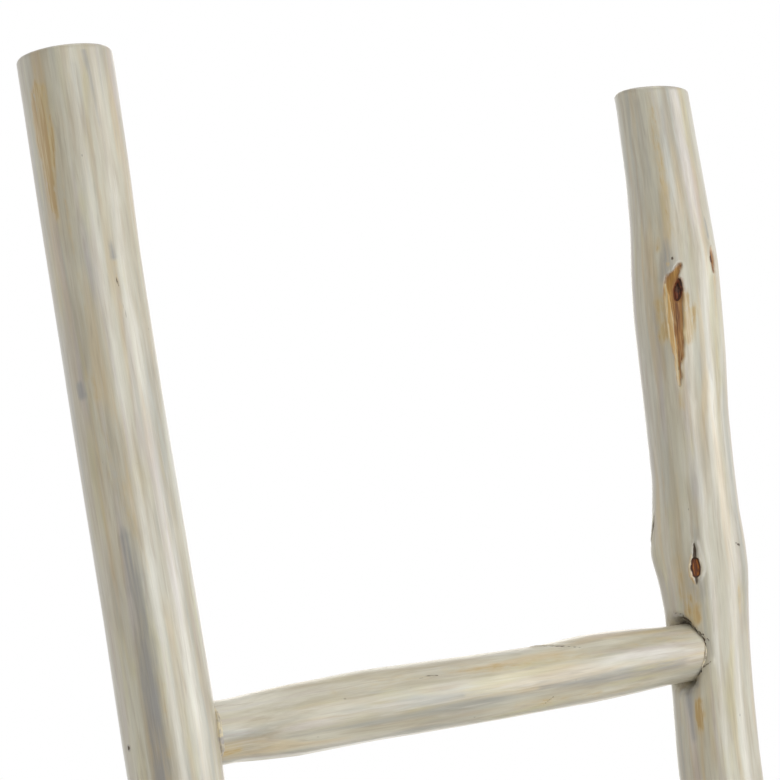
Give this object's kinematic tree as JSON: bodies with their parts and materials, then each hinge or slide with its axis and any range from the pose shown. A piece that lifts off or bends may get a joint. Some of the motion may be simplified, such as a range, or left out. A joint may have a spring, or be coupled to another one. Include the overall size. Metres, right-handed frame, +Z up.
{
  "type": "teak ladder",
  "caption": "Decorative ladder of peeled, whitewashed teak branch poles joined by whittled round rungs, stood upright or leant on a wall to hang throws and towels on.",
  "frame": {"origin": "on the floor, at the middle of the ladder's box seen from above", "axes": "+Z up along the poles, +X from the left pole to the right pole, front towards -Y"},
  "size_m": [0.517, 0.0764, 1.83],
  "materials": {
    "pole_wood": "peeled teak branch, whitewashed, with warm and grey streaks under a satin clear coat",
    "rung_wood": "whittled teak branch, whitewashed, with fine grain under a satin clear coat",
    "nail_iron": "dark plain iron"
  },
  "bodies": {
    "root": {"left_pole": "pole_wood", "right_pole": "pole_wood", "rung_1": "rung_wood", "rung_2": "rung_wood", "rung_3": "rung_wood", "rung_4": "rung_wood", "rung_5": "rung_wood", "rung_nails": "nail_iron"}
  },
  "joints": []
}
